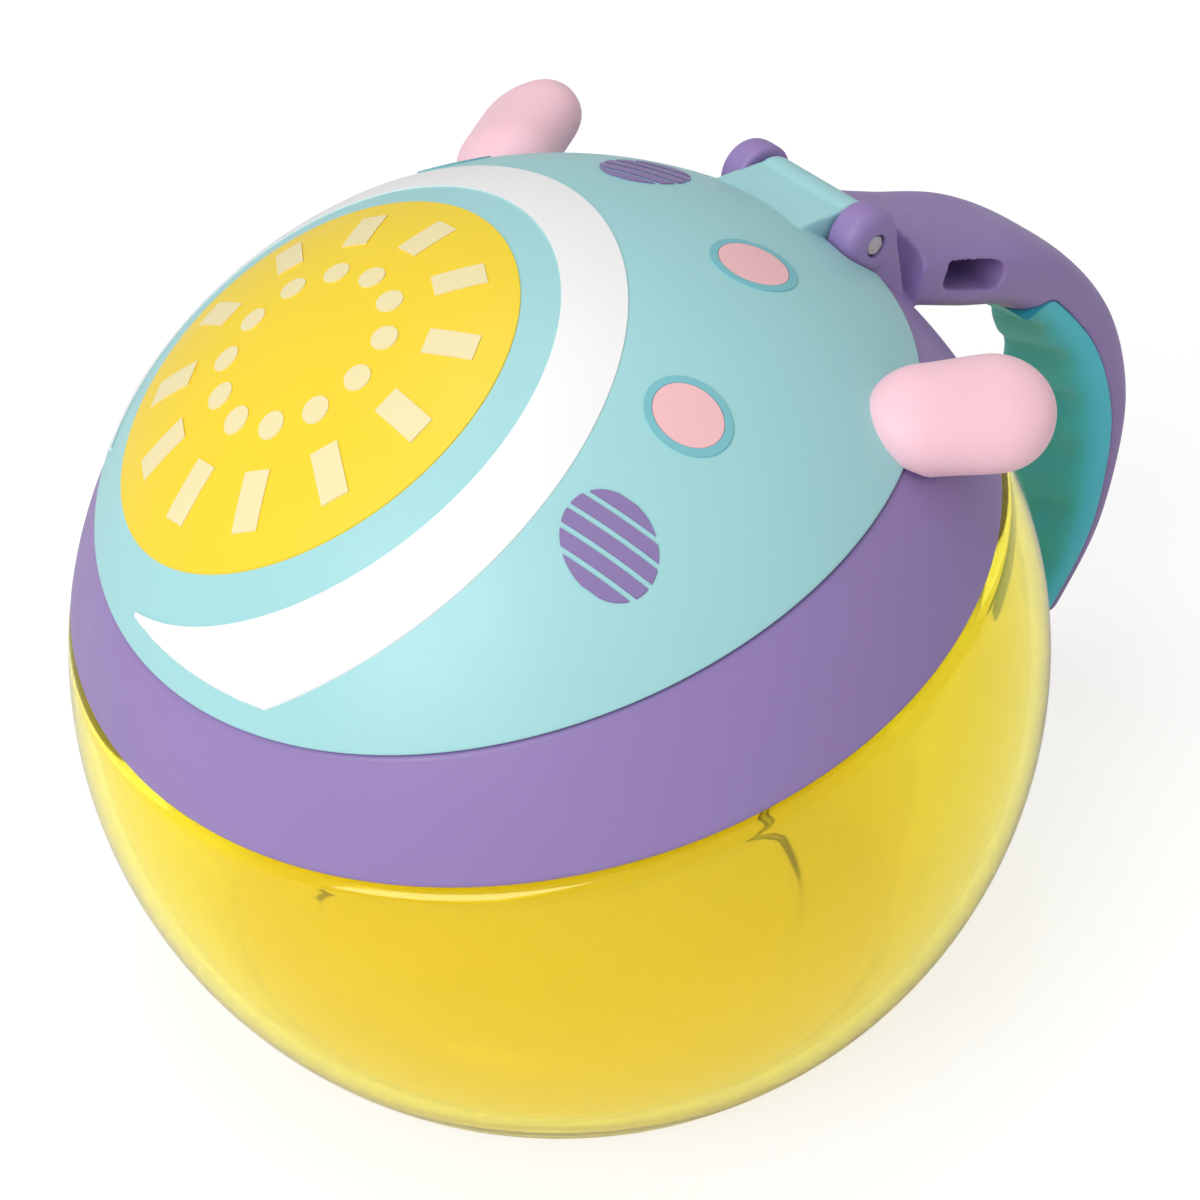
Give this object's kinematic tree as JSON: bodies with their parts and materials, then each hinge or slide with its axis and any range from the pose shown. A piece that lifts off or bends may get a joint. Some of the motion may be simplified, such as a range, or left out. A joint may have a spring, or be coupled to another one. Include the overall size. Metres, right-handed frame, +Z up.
{
  "type": "toddler snack container",
  "caption": "Ball-shaped toddler snack cup: translucent bowl, screw-on collar with soft reach-through flaps, hinged lid with ear tabs, and a soft-grip hook handle.",
  "frame": {"origin": "centre of the flat base", "axes": "+Z up, -Y front (the low side of the lid's edge), +Y the hinge and handle side, +X right; symmetric left to right about the YZ plane but for the print"},
  "size_m": [0.108, 0.1369, 0.0927],
  "materials": {
    "clear_yellow": "clear tinted, glossy",
    "soft_white": "soft matte",
    "purple": "satin",
    "grip_teal": "soft matte",
    "steel": "brushed",
    "lid_teal": "satin",
    "white": "satin",
    "soft_pink": "soft satin",
    "print_white": "satin film",
    "print_yellow": "satin film",
    "print_cream": "satin film",
    "print_cyan": "satin film",
    "print_pink": "satin film",
    "print_purple": "satin film"
  },
  "bodies": {
    "bowl": {"bowl": "clear_yellow"},
    "seal": {"seal_ring": "soft_white"},
    "collar": {"collar": "purple", "handle": "purple", "handle_grip": "grip_teal", "hinge_pin": "steel", "flap_ring": "soft_white"},
    "lid": {"lid_shell": "lid_teal", "lid_liner": "white", "left_ear_tab": "soft_pink", "right_ear_tab": "soft_pink", "film_halo": "print_white", "film_sun": "print_yellow", "film_rays": "print_cream", "film_rings": "print_cyan", "film_spots": "print_pink", "film_stripes": "print_purple"},
    "flap_1": {"flap_1": "soft_white"},
    "flap_2": {"flap_2": "soft_white"},
    "flap_3": {"flap_3": "soft_white"},
    "flap_4": {"flap_4": "soft_white"},
    "flap_5": {"flap_5": "soft_white"},
    "flap_6": {"flap_6": "soft_white"}
  },
  "joints": [
    {"name": "seal_lift", "type": "slide", "parent": "bowl", "child": "seal", "axis": [0, -0.2147, 0.9767], "range_m": [0, 0.0046]},
    {"name": "collar_turn", "type": "hinge", "parent": "seal", "child": "collar", "pos_m": [0, 0, 0.03817], "axis": [0, -0.2147, 0.9767], "range_deg": [0, 80]},
    {"name": "lid_hinge", "type": "hinge", "parent": "collar", "child": "lid", "pos_m": [0, 0.03484, 0.08165], "axis": [-1, 0, 0], "range_deg": [0, 160]},
    {"name": "flap_1_bend", "type": "hinge", "parent": "collar", "child": "flap_1", "pos_m": [0.02581, -0.00656, 0.06549], "axis": [0, -0.9724, -0.2334], "range_deg": [0, 60], "stiffness_Nm_per_rad": 0.002},
    {"name": "flap_2_bend", "type": "hinge", "parent": "collar", "child": "flap_2", "pos_m": [0.0129, 0.01517, 0.07071], "axis": [0.866, -0.4862, -0.1167], "range_deg": [0, 60], "stiffness_Nm_per_rad": 0.002},
    {"name": "flap_3_bend", "type": "hinge", "parent": "collar", "child": "flap_3", "pos_m": [-0.0129, 0.01517, 0.07071], "axis": [0.866, 0.4862, 0.1167], "range_deg": [0, 60], "stiffness_Nm_per_rad": 0.002},
    {"name": "flap_4_bend", "type": "hinge", "parent": "collar", "child": "flap_4", "pos_m": [-0.02581, -0.00656, 0.06549], "axis": [0, 0.9724, 0.2334], "range_deg": [0, 60], "stiffness_Nm_per_rad": 0.002},
    {"name": "flap_5_bend", "type": "hinge", "parent": "collar", "child": "flap_5", "pos_m": [-0.0129, -0.02829, 0.06027], "axis": [-0.866, 0.4862, 0.1167], "range_deg": [0, 60], "stiffness_Nm_per_rad": 0.002},
    {"name": "flap_6_bend", "type": "hinge", "parent": "collar", "child": "flap_6", "pos_m": [0.0129, -0.02829, 0.06027], "axis": [-0.866, -0.4862, -0.1167], "range_deg": [0, 60], "stiffness_Nm_per_rad": 0.002}
  ],
  "couplings": [
    {"joint": "seal_lift", "follows": "collar_turn", "m_per_rad": 0.0031831}
  ]
}
